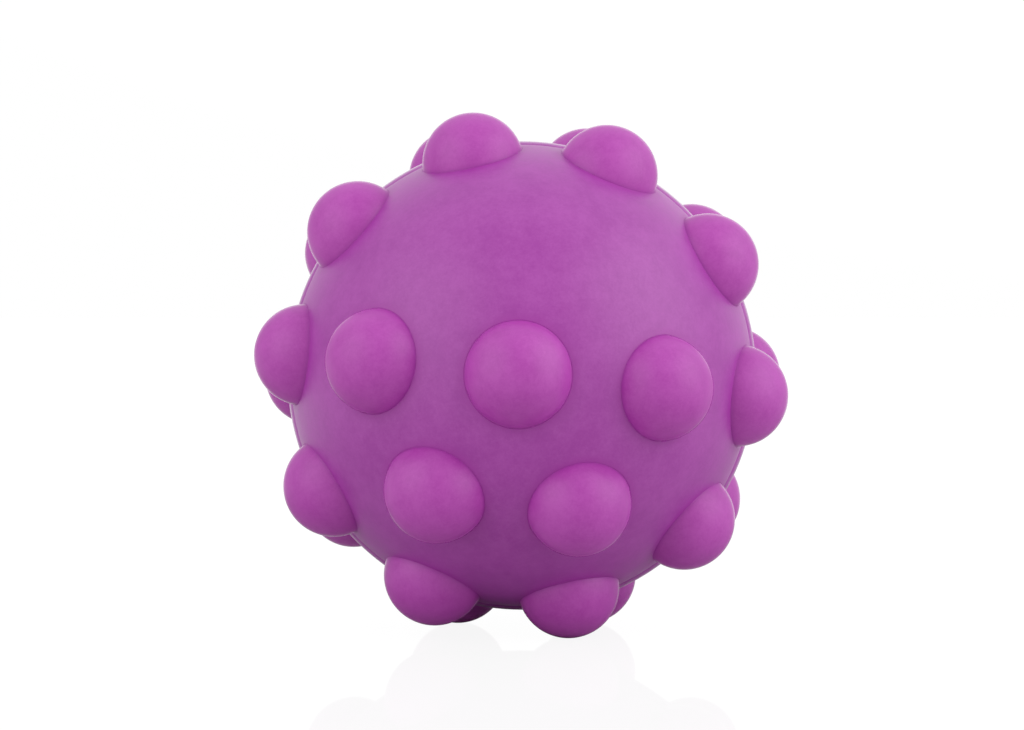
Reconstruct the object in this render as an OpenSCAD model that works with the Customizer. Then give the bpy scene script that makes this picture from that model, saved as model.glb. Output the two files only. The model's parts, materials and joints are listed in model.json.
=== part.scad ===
// Sensory pop ball: two like silicone halves, butted and bonded at a seam, with hollow
// bubbles that turn inside out when they are pressed. The ball's centre is the origin,
// the front half's pole faces -Y, the seam lies in the XZ plane and +Z is up.

/* [Ball] */
// Diameter over the bare skin between the bubbles
ball_d = 68; // [62:1:90]
// Thickness of the moulded shell wall
shell_wall = 2.5; // [2:0.1:3]

/* [Bubbles] */
// Diameter of a bubble where it meets the skin
bubble_base_d = 14.7; // [13:0.1:16]
// Height of a bubble's top above the skin
bubble_height = 5.9; // [5:0.1:6.8]
// Thickness of a bubble's thin wall
bubble_wall = 1.2; // [0.8:0.1:1.5]
// Width of the root ring that stays on the skin when a bubble pops
root_width = 1.75; // [1.6:0.05:2.5]
// Gap round the crown, where the thin wall rolls over
crown_gap = 0.3; // [0.2:0.05:0.5]

/* [Layout] */
// Bubbles in the rim ring, beside the seam
rim_count = 10; // [6:1:11]
// Bare skin between a rim bubble and the seam
rim_margin = 1.3; // [0.8:0.1:2]
// Places in the inner ring, round the pole
inner_places = 6; // [4:1:7]
// Places in the inner ring that are left without a bubble, at the top
inner_bare = 2; // [0:1:3]
// Extra bare skin on the rim side of the inner ring, over its even share
inner_margin = 0.3; // [-2:0.1:2]
// Degrees that the front half is rolled clockwise against the rear half
front_roll = 5.35; // [0:0.05:36]

/* [Seam] */
// Height of the bead round the seam
bead_height = 0.65; // [0.3:0.05:1]
// Width of the bead across both halves
bead_width = 3.6; // [2:0.1:5]
// Reach of the bonding lip inwards from the shell wall
lip_reach = 1.5; // [0.5:0.1:2]
// Height of the bonding lip on each half
lip_height = 1.2; // [0.6:0.1:1.4]
// Thickness of the bond between the halves
bond_thickness = 0.2; // [0.1:0.05:0.4]
// Depth of the fine groove that is left open outside the bond
groove_depth = 0.4; // [0.2:0.1:0.8]

/* [Hidden] */
$fn = 96;
SIDES = ["front", "rear"];
skin_colour = [0.60, 0.26, 0.62];
bubble_colour = [0.68, 0.28, 0.66];
bond_colour = [0.50, 0.20, 0.52];

ball_r = ball_d / 2;
cavity_r = ball_r - shell_wall;
lip_r = cavity_r - lip_reach;

// A bubble is a round dome through its base circle and its top. Heights are taken from
// the ball's centre along the bubble's own axis.
base_r = bubble_base_d / 2;
base_z = sqrt(pow(ball_r, 2) - pow(base_r, 2));
top_z = ball_r + bubble_height;
rise = top_z - base_z;
dome_r = (pow(base_r, 2) + pow(rise, 2)) / (2 * rise);
dome_z = top_z - dome_r;
crown_r = base_r - root_width;
opening_r = crown_r + crown_gap;
// The solid root reaches half-way into the shell wall.
root_z = base_z - shell_wall / 2;

// The bead is a round section whose chord, at the skin, is as wide as the bead.
bead_r = (pow(bead_width / 2, 2) + pow(bead_height, 2)) / (2 * bead_height);
bead_x = ball_r + bead_height - bead_r;
bond_r = ball_r + bead_height - groove_depth;

// Angles from the pole: the rim ring lies beside the seam, and the inner ring shares the
// bare skin between the pole and the rim ring.
base_angle = asin(base_r / ball_r);
rim_angle = 90 - base_angle - asin(rim_margin / ball_r);
inner_angle = rim_angle / 2 - asin(inner_margin / ball_r);
// The bubbles of the inner ring are centred on the bottom of the half.
bottom_turn = 270;
inner_count = inner_places - inner_bare;
inner_step = 360 / inner_places;
inner_start = bottom_turn - inner_step * (inner_count - 1) / 2;

// Every bubble of one half: its name, its angle from the pole and its angle round it.
PLACES = concat(
  [["pole_bubble", 0, 0]],
  [for (i = [1:inner_count]) [str("inner_bubble_", i), inner_angle, inner_start + inner_step * (i - 1)]],
  [for (i = [1:rim_count]) [str("rim_bubble_", i), rim_angle, 360 / rim_count * (i - 1)]]
);

function bubble_name(side, place) = str(side, "_", place[0]);

// Turns a half that is drawn with its pole on +Z to where it sits on the ball.
module on_side(side) {
  turn = side == "front" ? 0 : 180;
  roll = side == "front" ? -front_roll : 0;
  rotate([0, 0, turn])
    rotate([90, 0, 0])
      rotate([0, 0, roll])
        children();
}

// Turns a bubble that is drawn on +Z to its place on a half.
module at_place(place) {
  rotate([0, place[1], place[2]])
    children();
}

// Section of one half without its bubbles: wall, bonding lip and half of the bead.
module half_section() {
  intersection() {
    union() {
      difference() {
        union() {
          circle(ball_r);
          translate([bead_x, 0])
            circle(bead_r);
        }
        circle(cavity_r);
      }
      translate([lip_r, 0])
        square([lip_reach + shell_wall / 2, lip_height + bond_thickness / 2]);
    }
    translate([0, bond_thickness / 2])
      square(2 * ball_r);
  }
}

// Solid dome that stands on the skin, before its opening is cut.
module dome_blank() {
  rotate_extrude()
    intersection() {
      translate([0, dome_z])
        circle(dome_r);
      translate([0, root_z])
        square([2 * dome_r, top_z]);
    }
}

// Opening through a dome and the wall below it, as wide as the crown and its gap.
module crown_opening() {
  translate([0, 0, lip_r])
    cylinder(r = opening_r, h = top_z);
}

// One moulded half: the shell with the roots of its bubbles.
module half_shell() {
  difference() {
    union() {
      rotate_extrude()
        half_section();
      for (place = PLACES)
        at_place(place)
          dome_blank();
    }
    for (place = PLACES)
      at_place(place)
        crown_opening();
  }
}

module front_half() {
  color(skin_colour)
    on_side("front")
      half_shell();
}

module rear_half() {
  color(skin_colour)
    on_side("rear")
      half_shell();
}

// Film of adhesive between the two lips, short of the bead's crest.
module seam_bond() {
  color(bond_colour)
    rotate([90, 0, 0])
      translate([0, 0, -bond_thickness / 2])
        difference() {
          cylinder(r = bond_r, h = bond_thickness);
          translate([0, 0, -bond_thickness])
            cylinder(r = lip_r, h = 3 * bond_thickness);
        }
}

// Crown of one bubble: the thin cap that a finger pushes through to the inside.
module bubble(side, place) {
  color(bubble_colour)
    on_side(side)
      at_place(place)
        rotate_extrude()
          intersection() {
            translate([0, dome_z])
              difference() {
                circle(dome_r);
                circle(dome_r - bubble_wall);
              }
            translate([0, base_z])
              square([crown_r, top_z]);
          }
}

front_half();
rear_half();
seam_bond();
for (side = SIDES)
  for (place = PLACES)
    bubble(side, place);
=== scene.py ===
import json
import math

import bpy
from mathutils import Matrix, Vector


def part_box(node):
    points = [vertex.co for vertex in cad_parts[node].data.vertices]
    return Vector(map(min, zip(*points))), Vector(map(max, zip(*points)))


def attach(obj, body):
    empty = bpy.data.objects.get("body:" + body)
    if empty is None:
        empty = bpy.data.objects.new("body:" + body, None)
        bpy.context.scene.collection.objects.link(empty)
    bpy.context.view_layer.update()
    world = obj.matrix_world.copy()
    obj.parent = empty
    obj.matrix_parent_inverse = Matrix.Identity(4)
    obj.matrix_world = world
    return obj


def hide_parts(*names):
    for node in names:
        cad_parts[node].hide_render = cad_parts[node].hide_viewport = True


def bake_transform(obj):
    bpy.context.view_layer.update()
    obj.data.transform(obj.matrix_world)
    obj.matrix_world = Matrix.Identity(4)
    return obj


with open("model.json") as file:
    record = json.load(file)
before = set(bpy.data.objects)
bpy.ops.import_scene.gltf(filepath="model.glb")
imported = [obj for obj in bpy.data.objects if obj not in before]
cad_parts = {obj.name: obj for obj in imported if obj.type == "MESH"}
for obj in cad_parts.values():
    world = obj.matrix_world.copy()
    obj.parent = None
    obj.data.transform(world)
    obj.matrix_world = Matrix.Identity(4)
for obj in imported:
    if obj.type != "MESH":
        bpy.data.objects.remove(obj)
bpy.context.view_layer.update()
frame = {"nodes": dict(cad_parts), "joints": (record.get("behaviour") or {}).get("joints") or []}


# Half shells
# Two like hemispheres of matte silicone, each moulded in one piece with an opening under
# every bubble and one half of a raised bead. They are butted and bonded at the seam.
ball_radius = 0.034
skin_wall = 0.001
bead_height = 0.00065
bead_width = 0.0036
bead_radius = 0.005
seam_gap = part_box("seam_bond")[1].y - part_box("seam_bond")[0].y
bubble_base_radius = 0.00735
bubble_top = -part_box("front_pole_bubble")[0].y
crease_depth = 0.000035
crease_radius = 0.00005
edge_radius = 0.00008

# A bubble is a round dome through its base circle and its top. Heights are taken from the
# ball's centre along the bubble's axis, and reaches are taken sideways from that axis.
base_height = math.sqrt(ball_radius ** 2 - bubble_base_radius ** 2)
bubble_rise = bubble_top - base_height
dome_radius = (bubble_base_radius ** 2 + bubble_rise ** 2) / (2 * bubble_rise)
dome_height = bubble_top - dome_radius

# A fine crease runs round its foot. The crease's floor is a circle that touches the dome, and
# the edge of the skin is a circle that touches the ball from inside and the floor.
floor_height = base_height - crease_depth + crease_radius
floor_reach = math.sqrt((dome_radius + crease_radius) ** 2 - (floor_height - dome_height) ** 2)
floor_distance = math.hypot(floor_reach, floor_height)
edge_distance = ball_radius - edge_radius
edge_turn = math.acos((floor_distance ** 2 + edge_distance ** 2 - (crease_radius + edge_radius) ** 2)
                      / (2 * floor_distance * edge_distance))
skin_angle = math.atan2(floor_height, floor_reach) - edge_turn
edge_reach = edge_distance * math.cos(skin_angle)
edge_height = edge_distance * math.sin(skin_angle)
meeting_angle = math.atan2(floor_height - edge_height, floor_reach - edge_reach) % math.tau
dome_angle = math.atan2(floor_height - dome_height, floor_reach)
opening_angle = math.pi / 2 - skin_angle

# Each half of the bead is a flat arc that rises from the skin to the parting edge.
parting = Vector((ball_radius + bead_height, seam_gap / 2))
bead_foot = Vector((math.sqrt(ball_radius ** 2 - bead_width ** 2 / 4), bead_width / 2))
bead_chord = bead_foot - parting
bead_sink = math.sqrt(bead_radius ** 2 - bead_chord.length_squared / 4)
bead_centre = (parting + bead_foot) / 2 + bead_sink * bead_chord.orthogonal().normalized()
parting_angle = math.atan2(parting.y - bead_centre.y, parting.x - bead_centre.x)
foot_on_bead = math.atan2(bead_foot.y - bead_centre.y, bead_foot.x - bead_centre.x)
foot_on_ball = math.atan2(bead_foot.y, bead_foot.x)

# The half's mesh. The openings leave a narrow strip whole beside the seam.
half_segments = 300
half_rings = 72
bead_rings = 8
seam_margin = 0.0006
ragged_cells = 2.5
weld_distance = 1e-6
sharp_angle = math.radians(20)
FLOAT = "NodeSocketFloat"
WHOLE = "NodeSocketInt"
VECTOR = "NodeSocketVector"
COLOUR = "NodeSocketColor"
MESH = "NodeSocketGeometry"
MATERIAL = "NodeSocketMaterial"


def start_tree(name, kind, inputs, outputs):
    """A new node group with named sockets, and the sockets of its two ends."""
    tree = bpy.data.node_groups.new(name, kind)
    for socket_name, socket_type in inputs.items():
        tree.interface.new_socket(name=socket_name, in_out="INPUT", socket_type=socket_type)
    for socket_name, socket_type in outputs.items():
        tree.interface.new_socket(name=socket_name, in_out="OUTPUT", socket_type=socket_type)
    return tree, tree.nodes.new("NodeGroupInput").outputs, tree.nodes.new("NodeGroupOutput").inputs


def fill(tree, socket, value):
    """Links a node's input to another node's output, or sets it to a plain value."""
    if isinstance(value, bpy.types.NodeSocket):
        tree.links.new(value, socket)
    else:
        socket.default_value = value


def put(tree, kind, *values, named=None, **settings):
    """A node whose inputs are filled in order, then by name. Gives its first output."""
    node = tree.nodes.new(kind)
    for setting, value in settings.items():
        setattr(node, setting, value)
    for socket, value in zip(node.inputs, values):
        if value is not None:
            fill(tree, socket, value)
    for name, value in (named or {}).items():
        fill(tree, node.inputs[name], value)
    return node.outputs[0] if node.outputs else node


def calc(tree, operation, *values):
    """A calculation with numbers."""
    return put(tree, "ShaderNodeMath", *values, operation=operation)


def aim(tree, operation, *values):
    """A calculation with vectors."""
    return put(tree, "ShaderNodeVectorMath", *values, operation=operation)


def stretch(tree, vector, amount):
    """A vector taken times a number."""
    return put(tree, "ShaderNodeVectorMath", vector, named={"Scale": amount}, operation="SCALE")


# Every surface of the ball is an arc turned about an axis, so one group makes them all. The
# arc runs from its start to its end angle, and the faces look away from its centre if it rises.
band_tree, given, made = start_tree(
    "turned_band", "GeometryNodeTree",
    {"Centre Reach": FLOAT, "Centre Height": FLOAT, "Radius": FLOAT, "Start Angle": FLOAT,
     "End Angle": FLOAT, "Rings": WHOLE, "Segments": WHOLE},
    {"Mesh": MESH},
)
grid = put(band_tree, "GeometryNodeMeshGrid", 1.0, 1.0,
           calc(band_tree, "ADD", given["Segments"], 1.0), calc(band_tree, "ADD", given["Rings"], 1.0))
along = put(band_tree, "ShaderNodeSeparateXYZ", put(band_tree, "GeometryNodeInputPosition")).node.outputs
turn = calc(band_tree, "MULTIPLY_ADD", along["X"], math.tau, math.pi)
share = calc(band_tree, "ADD", along["Y"], 0.5)
angle = put(band_tree, "ShaderNodeMapRange", share, 0.0, 1.0, given["Start Angle"], given["End Angle"])
reach = calc(band_tree, "MULTIPLY_ADD", calc(band_tree, "COSINE", angle), given["Radius"],
             given["Centre Reach"])
height = calc(band_tree, "MULTIPLY_ADD", calc(band_tree, "SINE", angle), given["Radius"],
              given["Centre Height"])
place = put(band_tree, "ShaderNodeCombineXYZ",
            calc(band_tree, "MULTIPLY", reach, calc(band_tree, "COSINE", turn)),
            calc(band_tree, "MULTIPLY", reach, calc(band_tree, "SINE", turn)),
            height)
turned = put(band_tree, "GeometryNodeSetPosition", grid, None, place)
fill(band_tree, made["Mesh"], put(band_tree, "GeometryNodeMergeByDistance", turned, None, weld_distance))


def band(tree, *values):
    """One turned band inside another tree, from what the band's group asks for, in its order."""
    return put(tree, "GeometryNodeGroup", *values, node_tree=band_tree)


def joined(tree, *bands):
    """Bands whose edges meet, as one mesh."""
    join = tree.nodes.new("GeometryNodeJoinGeometry")
    for one in bands:
        tree.links.new(one, join.inputs[0])
    return put(tree, "GeometryNodeMergeByDistance", join.outputs[0], None, weld_distance)


def open_edges(tree):
    """True on the edges that have a face on one side only."""
    return calc(tree, "COMPARE", put(tree, "GeometryNodeInputMeshEdgeNeighbors"), 1.0, 0.1)


# The half's tree starts from the bubbles' places on the ball, as loose points. It turns skin
# and bead into a bowl that faces its own side.
half_tree, given, made = start_tree(
    "half_shell", "GeometryNodeTree",
    {"Bubble Places": MESH, "Ball Radius": FLOAT, "Opening Angle": FLOAT, "Bead Reach": FLOAT,
     "Bead Offset": FLOAT, "Bead Radius": FLOAT, "Parting Angle": FLOAT, "Foot On Bead": FLOAT,
     "Foot On Ball": FLOAT, "Seam Margin": FLOAT, "Facing": VECTOR, "Rings": WHOLE,
     "Bead Rings": WHOLE, "Segments": WHOLE, "Material": MATERIAL},
    {"Mesh": MESH},
)
pole_edge = calc(half_tree, "SUBTRACT", math.pi / 2, given["Opening Angle"])
skin_band = band(half_tree, 0.0, 0.0, given["Ball Radius"], given["Foot On Ball"], pole_edge,
                 given["Rings"], given["Segments"])
bead_band = band(half_tree, given["Bead Reach"], given["Bead Offset"], given["Bead Radius"],
                 given["Parting Angle"], given["Foot On Bead"], given["Bead Rings"], given["Segments"])
bowl = put(half_tree, "GeometryNodeTransform", joined(half_tree, skin_band, bead_band), None, given["Facing"])

# An opening is cut round each bubble's place, and its ragged edge is drawn onto a true circle.
spot = put(half_tree, "GeometryNodeInputPosition")
nearest = put(half_tree, "GeometryNodeProximity", given["Bubble Places"], target_element="POINTS")
distance = nearest.node.outputs["Distance"]
depth = calc(half_tree, "ABSOLUTE", put(half_tree, "ShaderNodeSeparateXYZ", spot).node.outputs["Y"])
off_seam = calc(half_tree, "GREATER_THAN", depth, given["Seam Margin"])
chord = calc(half_tree, "MULTIPLY", calc(half_tree, "MULTIPLY", given["Ball Radius"], 2.0),
             calc(half_tree, "SINE", calc(half_tree, "MULTIPLY", given["Opening Angle"], 0.5)))
within = calc(half_tree, "LESS_THAN", distance, calc(half_tree, "SUBTRACT", chord, weld_distance))
opened = put(half_tree, "GeometryNodeDeleteGeometry", bowl, calc(half_tree, "MULTIPLY", off_seam, within),
             domain="POINT")
rim_edge = open_edges(half_tree)
rim_point = put(half_tree, "GeometryNodeFieldOnDomain", rim_edge, domain="EDGE", data_type="BOOLEAN")
girth = calc(half_tree, "MULTIPLY", given["Ball Radius"], math.tau)
cell = calc(half_tree, "DIVIDE", girth, given["Segments"])
near_rim = calc(half_tree, "LESS_THAN", distance, calc(half_tree, "MULTIPLY_ADD", cell, ragged_cells, chord))
ragged = put(half_tree, "FunctionNodeBooleanMath", rim_point, calc(half_tree, "MULTIPLY", near_rim, off_seam),
             operation="AND")
axis = aim(half_tree, "NORMALIZE", nearest)
lift = aim(half_tree, "DOT_PRODUCT", spot, axis).node.outputs["Value"]
sideways = aim(half_tree, "NORMALIZE", aim(half_tree, "SUBTRACT", spot, stretch(half_tree, axis, lift)))
ring_reach = calc(half_tree, "MULTIPLY", given["Ball Radius"],
                  calc(half_tree, "SINE", given["Opening Angle"]))
ring_height = calc(half_tree, "MULTIPLY", given["Ball Radius"],
                   calc(half_tree, "COSINE", given["Opening Angle"]))
on_ring = aim(half_tree, "ADD", stretch(half_tree, axis, ring_height),
              stretch(half_tree, sideways, ring_reach))
trimmed = put(half_tree, "GeometryNodeSetPosition", opened, ragged, on_ring)

# The material needs to know how far up the bead a point lies, and the axis of its bubble.
foot_depth = calc(half_tree, "MULTIPLY", given["Ball Radius"], calc(half_tree, "SINE", given["Foot On Ball"]))
up_bead = put(half_tree, "ShaderNodeMapRange", depth, foot_depth, 0.0, 0.0, 1.0)
beaded = put(half_tree, "GeometryNodeStoreNamedAttribute", trimmed, None, "bead", up_bead,
             data_type="FLOAT", domain="POINT")
marked = put(half_tree, "GeometryNodeStoreNamedAttribute", beaded, None, "bubble_axis", axis,
             data_type="FLOAT_VECTOR", domain="POINT")
smooth = put(half_tree, "GeometryNodeSetShadeSmooth", marked, None, True, domain="FACE")
bent = calc(half_tree, "GREATER_THAN", put(half_tree, "GeometryNodeInputMeshEdgeAngle"), sharp_angle)
hard = calc(half_tree, "MAXIMUM", bent, rim_edge)
creased = put(half_tree, "GeometryNodeSetShadeSmooth", smooth, hard, False, domain="EDGE")
realized = put(half_tree, "GeometryNodeRealizeInstances", creased)
finished = put(half_tree, "GeometryNodeSetMaterial", realized, None, given["Material"])
fill(half_tree, made["Mesh"], finished)


def shape(name, points, tree, values):
    """A plain mesh object at the origin, made by a tree from loose points and named values."""
    start = bpy.data.meshes.new(name + "_points")
    start.from_pydata(points, [], [])
    maker = bpy.data.objects.new(name + "_maker", start)
    bpy.context.scene.collection.objects.link(maker)
    modifier = maker.modifiers.new(name, "NODES")
    modifier.node_group = tree
    sockets = {item.name: item.identifier for item in tree.interface.items_tree if item.in_out == "INPUT"}
    for value_name, value in values.items():
        modifier[sockets[value_name]] = value
    evaluated = maker.evaluated_get(bpy.context.evaluated_depsgraph_get())
    mesh = bpy.data.meshes.new_from_object(evaluated)
    mesh.name = name
    bpy.data.objects.remove(maker)
    bpy.data.meshes.remove(start)
    piece = bpy.data.objects.new(name, mesh)
    bpy.context.scene.collection.objects.link(piece)
    return piece


def mixed(tree, share, first, second):
    """The colour that lies at a share of the way from the first colour to the second."""
    node = tree.nodes.new("ShaderNodeMix")
    node.data_type = "RGBA"
    sockets = {socket.identifier: socket for socket in (*node.inputs, *node.outputs)}
    fill(tree, sockets["Factor_Float"], share)
    fill(tree, sockets["A_Color"], first)
    fill(tree, sockets["B_Color"], second)
    return sockets["Result_Color"]


# Matte silicone has a pale mottle from the moulding, from broad clouds down to fine grain. The
# group gives what changes over the surface, and each material adds its own shader.
cloud_scale = 150.0
cloud_detail = 5.0
cloud_fineness = 0.95
cloud_from = 0.375
cloud_full = 0.625
cloud_gloss = 0.3
grain_scale = 1800.0
grain_detail = 3.0
grain_fineness = 0.6
mottle_tree, given, made = start_tree(
    "silicone_mottle", "ShaderNodeTree",
    {"Colour": COLOUR, "Cloud Colour": COLOUR, "Cloud Scale": FLOAT, "Grain Scale": FLOAT,
     "Roughness": FLOAT},
    {"Colour": COLOUR, "Roughness": FLOAT, "Height": FLOAT},
)
where = put(mottle_tree, "ShaderNodeTexCoord").node.outputs["Object"]
clouds = put(mottle_tree, "ShaderNodeTexNoise", where, None, given["Cloud Scale"], cloud_detail,
             cloud_fineness)
cloud_share = put(mottle_tree, "ShaderNodeMapRange", clouds, cloud_from, cloud_full, 0.0, 1.0)
fill(mottle_tree, made["Colour"], mixed(mottle_tree, cloud_share, given["Colour"], given["Cloud Colour"]))
uneven = calc(mottle_tree, "SUBTRACT", clouds, 0.5)
rough = calc(mottle_tree, "MULTIPLY_ADD", uneven, cloud_gloss, given["Roughness"])
fill(mottle_tree, made["Roughness"], rough)
grain = put(mottle_tree, "ShaderNodeTexNoise", where, None, given["Grain Scale"], grain_detail,
            grain_fineness)
fill(mottle_tree, made["Height"], grain)

grain_strength = 0.25
grain_height = 0.00006
glancing_from = 0.65
glancing_polish = 0.36
silicone_ior = 1.41
silicone_specular = 0.9


def silicone(name, colour, cloud_colour, roughness, polished):
    """A matte silicone material on the mottle group, which shines at a glancing angle where its
    polished attribute says so. Gives the material, its shader and its mottled colour."""
    material = bpy.data.materials.new(name)
    material.use_nodes = True
    tree = material.node_tree
    shader = tree.nodes["Principled BSDF"]
    mottle = put(tree, "ShaderNodeGroup", (*colour, 1.0), (*cloud_colour, 1.0), cloud_scale, grain_scale,
                 roughness, node_tree=mottle_tree).node.outputs
    glancing = put(tree, "ShaderNodeLayerWeight").node.outputs["Facing"]
    shine = put(tree, "ShaderNodeMapRange", glancing, glancing_from, 1.0, 0.0, -glancing_polish,
                interpolation_type="SMOOTHSTEP")
    where_polished = put(tree, "ShaderNodeAttribute", attribute_name=polished).node.outputs["Fac"]
    grained = {"Strength": grain_strength, "Distance": grain_height, "Height": mottle["Height"]}
    fill(tree, shader.inputs["Base Color"], mottle["Colour"])
    fill(tree, shader.inputs["Roughness"],
         calc(tree, "MULTIPLY_ADD", shine, where_polished, mottle["Roughness"]))
    fill(tree, shader.inputs["Normal"], put(tree, "ShaderNodeBump", named=grained))
    shader.inputs["IOR"].default_value = silicone_ior
    shader.inputs["Specular IOR Level"].default_value = silicone_specular
    return material, shader, mottle["Colour"]


skin_colour = (0.370, 0.0355, 0.364)
skin_cloud = (0.428, 0.061, 0.419)
skin_roughness = 0.44
skin_silicone, skin_shader, skin_mottle = silicone("skin_silicone", skin_colour, skin_cloud, skin_roughness,
                                                   "bead")

# Painted shade: the skin is painted a deeper purple in a ring round each bubble, for the shade that
# the bubble casts round its foot.
root_shade_colour = (0.384, 0.028, 0.369, 1.0)
root_shade_width = 0.0013
root_shade_share = 0.7
tree = skin_silicone.node_tree
facing_out = aim(tree, "NORMALIZE", put(tree, "ShaderNodeTexCoord").node.outputs["Object"])
bubble_axis = put(tree, "ShaderNodeAttribute", attribute_name="bubble_axis").node.outputs["Vector"]
nearness = aim(tree, "DOT_PRODUCT", facing_out, bubble_axis).node.outputs["Value"]
root = put(tree, "ShaderNodeMapRange", calc(tree, "ARCCOSINE", nearness), opening_angle,
           opening_angle + root_shade_width / ball_radius, root_shade_share, 0.0)
fill(tree, skin_shader.inputs["Base Color"], mixed(tree, root, skin_mottle, root_shade_colour))

# The crest of the bead is smoother than the skin, so it shines.
crest_from = 0.15
crest_full = 0.6
crest_coat = 0.8
crest_roughness = 0.2
up_bead = put(tree, "ShaderNodeAttribute", attribute_name="bead").node.outputs["Fac"]
crest = put(tree, "ShaderNodeMapRange", up_bead, crest_from, crest_full, 0.0, crest_coat)
fill(tree, skin_shader.inputs["Coat Weight"], crest)
skin_shader.inputs["Coat Roughness"].default_value = crest_roughness

outward = {joint["child"]: -Vector(joint["axis"]).normalized() for joint in frame["joints"]}
for side, facing in (("front", math.pi / 2), ("rear", -math.pi / 2)):
    places = [ball_radius * axis for name, axis in outward.items() if name.startswith(side)]
    half = shape(f"{side}_half_skin", places, half_tree, {
        "Ball Radius": ball_radius, "Opening Angle": opening_angle, "Bead Reach": bead_centre.x,
        "Bead Offset": bead_centre.y, "Bead Radius": bead_radius, "Parting Angle": parting_angle,
        "Foot On Bead": foot_on_bead, "Foot On Ball": foot_on_ball, "Seam Margin": seam_margin,
        "Facing": (facing, 0.0, 0.0), "Rings": half_rings, "Bead Rings": bead_rings,
        "Segments": half_segments, "Material": skin_silicone})
    wall = half.modifiers.new("wall", "SOLIDIFY")
    wall.thickness = skin_wall
    wall.offset = -1.0
    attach(half, "shell")
    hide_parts(f"{side}_half")


# Seam bond
# A thin film of silicone adhesive between the two lips. It is cured flush inside the bead and
# only shows as the floor of the fine groove round the ball.
bond_colour = (0.20, 0.030, 0.21)
bond_cloud = (0.26, 0.045, 0.26)
bond_roughness = 0.6
bond_silicone = silicone("bond_silicone", bond_colour, bond_cloud, bond_roughness, "bead")[0]
frame["nodes"]["seam_bond"].data.materials.clear()
frame["nodes"]["seam_bond"].data.materials.append(bond_silicone)


# Bubbles
# Hollow domes moulded in one with their half, with a thin wall that lets the light through. A
# finger turns a bubble inside out, and it stays in until it is pushed back from behind.
bubble_wall = 0.0011
bubble_segments = 96
dome_rings = 30
floor_rings = 6
edge_rings = 5
tuck_radius = 0.002
tuck_angle = 0.2
tuck_rings = 3
thin_from_base = 0.08

# A bubble's tree turns the dome, the floor and the edge of the crease, and a band that tucks
# in under the skin. Then it aims them along the bubble's axis.
bubble_tree, given, made = start_tree(
    "pop_bubble", "GeometryNodeTree",
    {"Start": MESH, "Ball Radius": FLOAT, "Base Height": FLOAT, "Dome Radius": FLOAT, "Dome Height": FLOAT,
     "Dome Angle": FLOAT, "Floor Radius": FLOAT, "Floor Reach": FLOAT, "Floor Height": FLOAT,
     "Meeting Angle": FLOAT, "Edge Radius": FLOAT, "Edge Reach": FLOAT, "Edge Height": FLOAT,
     "Skin Angle": FLOAT, "Tuck Radius": FLOAT, "Tuck Angle": FLOAT, "Dome Rings": WHOLE,
     "Floor Rings": WHOLE, "Edge Rings": WHOLE, "Tuck Rings": WHOLE, "Segments": WHOLE,
     "Direction": VECTOR, "Material": MATERIAL},
    {"Mesh": MESH},
)
dome_band = band(bubble_tree, 0.0, given["Dome Height"], given["Dome Radius"], given["Dome Angle"],
                 math.pi / 2, given["Dome Rings"], given["Segments"])
floor_band = band(bubble_tree, given["Floor Reach"], given["Floor Height"], given["Floor Radius"],
                  calc(bubble_tree, "SUBTRACT", given["Meeting Angle"], math.pi),
                  calc(bubble_tree, "SUBTRACT", given["Dome Angle"], math.pi),
                  given["Floor Rings"], given["Segments"])
edge_band = band(bubble_tree, given["Edge Reach"], given["Edge Height"], given["Edge Radius"],
                 given["Skin Angle"], given["Meeting Angle"], given["Edge Rings"], given["Segments"])
tuck_distance = calc(bubble_tree, "SUBTRACT", given["Ball Radius"], given["Tuck Radius"])
tuck_reach = calc(bubble_tree, "MULTIPLY", tuck_distance, calc(bubble_tree, "COSINE", given["Skin Angle"]))
tuck_height = calc(bubble_tree, "MULTIPLY", tuck_distance, calc(bubble_tree, "SINE", given["Skin Angle"]))
tuck_start = calc(bubble_tree, "SUBTRACT", given["Skin Angle"], given["Tuck Angle"])
tuck_band = band(bubble_tree, tuck_reach, tuck_height, given["Tuck Radius"], tuck_start,
                 given["Skin Angle"], given["Tuck Rings"], given["Segments"])
bubble_mesh = joined(bubble_tree, dome_band, floor_band, edge_band, tuck_band)
spot = put(bubble_tree, "GeometryNodeInputPosition")
up = put(bubble_tree, "ShaderNodeSeparateXYZ", spot).node.outputs["Z"]
all_thin = calc(bubble_tree, "MULTIPLY_ADD", given["Dome Radius"], thin_from_base, given["Base Height"])
thin = put(bubble_tree, "ShaderNodeMapRange", up, given["Base Height"], all_thin, 0.0, 1.0,
           interpolation_type="SMOOTHSTEP")
marked = put(bubble_tree, "GeometryNodeStoreNamedAttribute", bubble_mesh, None, "thin_wall", thin,
             data_type="FLOAT", domain="POINT")
smooth = put(bubble_tree, "GeometryNodeSetShadeSmooth", marked, None, True, domain="FACE")
rim_edge = open_edges(bubble_tree)
creased = put(bubble_tree, "GeometryNodeSetShadeSmooth", smooth, rim_edge, False, domain="EDGE")
aimed = put(bubble_tree, "FunctionNodeAlignRotationToVector", None, 1.0, given["Direction"], axis="Z")
placed = put(bubble_tree, "GeometryNodeTransform", creased, None, aimed)
realized = put(bubble_tree, "GeometryNodeRealizeInstances", placed)
finished = put(bubble_tree, "GeometryNodeSetMaterial", realized, None, given["Material"])
fill(bubble_tree, made["Mesh"], finished)
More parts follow.
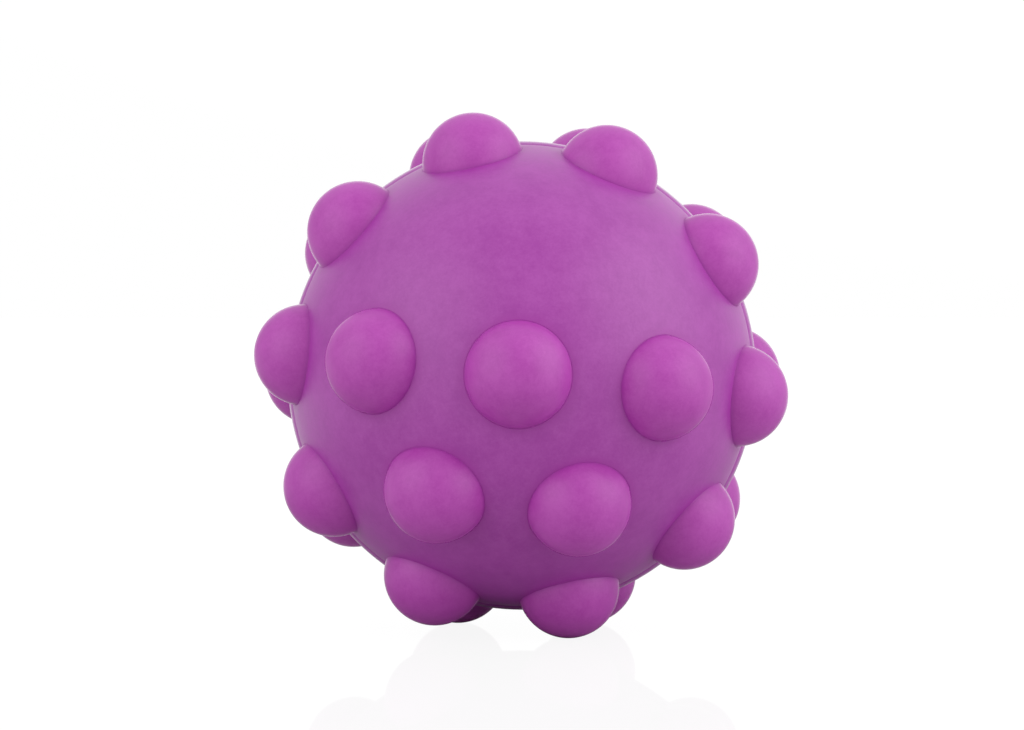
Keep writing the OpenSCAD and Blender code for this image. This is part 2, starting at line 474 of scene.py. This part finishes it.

# The dome is painted a brighter, pinker purple than the skin, a painted glow for the light that comes
# through its thin wall. At its root it fades into the painted root shade.
bubble_lit_colour = (0.446, 0.041, 0.410)
bubble_lit_cloud = (0.504, 0.066, 0.464)
bubble_roughness = 0.5
bubble_silicone, bubble_shader, bubble_mottle = silicone("bubble_silicone", bubble_lit_colour, bubble_lit_cloud,
                                                          bubble_roughness, "thin_wall")
tree = bubble_silicone.node_tree
thin_wall = put(tree, "ShaderNodeAttribute", attribute_name="thin_wall").node.outputs["Fac"]
fill(tree, bubble_shader.inputs["Base Color"], mixed(tree, thin_wall, root_shade_colour, bubble_mottle))

# Each bubble is made along its outward axis, given its wall and put in place of its CAD part.
for node, direction in outward.items():
    bubble = shape(f"{node}_skin", [], bubble_tree, {
        "Ball Radius": ball_radius, "Base Height": base_height, "Dome Radius": dome_radius,
        "Dome Height": dome_height, "Dome Angle": dome_angle, "Floor Radius": crease_radius,
        "Floor Reach": floor_reach, "Floor Height": floor_height, "Meeting Angle": meeting_angle,
        "Edge Radius": edge_radius, "Edge Reach": edge_reach, "Edge Height": edge_height,
        "Skin Angle": skin_angle, "Tuck Radius": tuck_radius, "Tuck Angle": tuck_angle,
        "Dome Rings": dome_rings, "Floor Rings": floor_rings, "Edge Rings": edge_rings,
        "Tuck Rings": tuck_rings, "Segments": bubble_segments, "Direction": direction,
        "Material": bubble_silicone})
    wall = bubble.modifiers.new("wall", "SOLIDIFY")
    wall.thickness = bubble_wall
    wall.offset = -1.0
    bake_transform(bubble)
    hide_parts(node)


# Table
# A white glossy table that the ball lies on, touching it with the two lowest rim bubbles at the
# rear and the lowest one at the front. It is not part of the object.
table_size = 4.0
feet = sorted((dome_height * axis for axis in outward.values()), key=lambda foot: foot.z)
rear_feet = [foot for foot in feet if foot.y > 0][:2]
front_foot = next(foot for foot in feet if foot.y < 0)
table_up = (rear_feet[1] - rear_feet[0]).cross(front_foot - rear_feet[0]).normalized()
if table_up.z < 0:
    table_up = -table_up
table_point = front_foot - dome_radius * table_up
table_mesh = bpy.data.meshes.new("table")
corners = [(-1, -1, 0), (1, -1, 0), (1, 1, 0), (-1, 1, 0)]
table_mesh.from_pydata([Vector(c) * table_size / 2 for c in corners], [], [(0, 1, 2, 3)])
table_mesh.transform(Matrix.Translation(table_point) @ table_up.to_track_quat("Z", "Y").to_matrix().to_4x4())
table = bpy.data.objects.new("table", table_mesh)
bpy.context.scene.collection.objects.link(table)

# The camera sees the table white, with a trace of the ball's shadow and a faint mirror image of
# it. Away from the ball the table is white in reflections too.
white = (1.0, 1.0, 1.0, 1.0)
table_grey = (0.55, 0.55, 0.55, 1.0)
table_glow = 1.06
far_glow = 0.06
glow_share = 0.92
far_from = 0.1
far_full = 0.2
mirror_share = 0.07
mirror_roughness = 0.03
table_white = bpy.data.materials.new("table_white")
table_white.use_nodes = True
tree = table_white.node_tree
tree.nodes.clear()
rays = tree.nodes.new("ShaderNodeLightPath").outputs
reach = aim(tree, "LENGTH", put(tree, "ShaderNodeTexCoord").node.outputs["Object"]).node.outputs["Value"]
far = put(tree, "ShaderNodeMapRange", reach, far_from, far_full, 0.0, 1.0, interpolation_type="SMOOTHSTEP")
mirrored = calc(tree, "MULTIPLY", far, rays["Is Glossy Ray"])
seen = calc(tree, "MULTIPLY", calc(tree, "MAXIMUM", rays["Is Camera Ray"], mirrored), glow_share)
lit = put(tree, "ShaderNodeBsdfDiffuse", table_grey)
glow = put(tree, "ShaderNodeEmission", white, calc(tree, "MULTIPLY_ADD", far, far_glow, table_glow))
backlit = put(tree, "ShaderNodeMixShader", seen, lit, glow)
mirror = put(tree, "ShaderNodeBsdfGlossy", white, mirror_roughness)
put(tree, "ShaderNodeOutputMaterial", put(tree, "ShaderNodeMixShader", mirror_share, backlit, mirror))
table.data.materials.append(table_white)


# Light and camera
# A white room, brighter overhead and behind the ball, with two soft boxes, the stronger one to the
# right. The camera looks at the front pole from twelve ball radii away, a little to the right of
# the pole's axis.
even_light = 0.54
ceiling_light = 0.35
ceiling_direction = Vector((0.18, 0.5, 0.84)).normalized()
ceiling_from = 0.3
ceiling_full = 0.95
backdrop_light = 0.34
backdrop_from = 0.5
backdrop_full = 0.9
world = bpy.data.worlds.new("white_room")
bpy.context.scene.world = world
world.use_nodes = True
tree = world.node_tree
tree.nodes.clear()
rays = tree.nodes.new("ShaderNodeLightPath").outputs
direction = put(tree, "ShaderNodeTexCoord")
upwards = aim(tree, "DOT_PRODUCT", direction, ceiling_direction).node.outputs["Value"]
room_light = put(tree, "ShaderNodeMapRange", upwards, ceiling_from, ceiling_full, even_light,
                 even_light + ceiling_light, interpolation_type="SMOOTHSTEP")
backwards = put(tree, "ShaderNodeSeparateXYZ", direction).node.outputs["Y"]
backdrop = put(tree, "ShaderNodeMapRange", backwards, backdrop_from, backdrop_full, 0.0, backdrop_light,
               interpolation_type="SMOOTHSTEP")
lighting = calc(tree, "ADD", room_light, backdrop)
strength = calc(tree, "MAXIMUM", lighting, rays["Is Camera Ray"])
put(tree, "ShaderNodeOutputWorld", put(tree, "ShaderNodeBackground", white, strength))

box_size = 0.62
right_place = Vector((0.499, -0.200, 0.266))
right_power = 1.87
left_place = Vector((-0.433, -0.322, 0.262))
left_power = 1.36


def soft_box(name, place, power):
    """A square lamp that looks at the ball's centre."""
    lamp = bpy.data.lights.new(name, "AREA")
    lamp.shape = "SQUARE"
    lamp.size = box_size
    lamp.energy = power
    box = bpy.data.objects.new(name, lamp)
    box.location = place
    box.rotation_euler = (-place).to_track_quat("-Z", "Y").to_euler()
    bpy.context.scene.collection.objects.link(box)


soft_box("right_soft_box", right_place, right_power)
soft_box("left_soft_box", left_place, left_power)

photo_width = 1024
ball_offset_pixels = (9.6, 10.4)
focal_pixels = 2758
camera_distance = 12 * ball_radius
camera_azimuth = math.radians(0.8)
camera_elevation = math.radians(-0.2)
lens = bpy.data.cameras.new("photo_camera")
lens.sensor_width = 36.0
lens.lens = focal_pixels / photo_width * lens.sensor_width
lens.shift_x = -ball_offset_pixels[0] / photo_width
lens.shift_y = ball_offset_pixels[1] / photo_width
lens.clip_start = 0.01
camera = bpy.data.objects.new("photo_camera", lens)
camera.rotation_euler = (math.pi / 2 - camera_elevation, 0.0, camera_azimuth)
camera.location = camera_distance * (camera.rotation_euler.to_matrix() @ Vector((0.0, 0.0, 1.0)))
bpy.context.scene.collection.objects.link(camera)
bpy.context.scene.camera = camera
bpy.context.scene.view_settings.view_transform = "Standard"
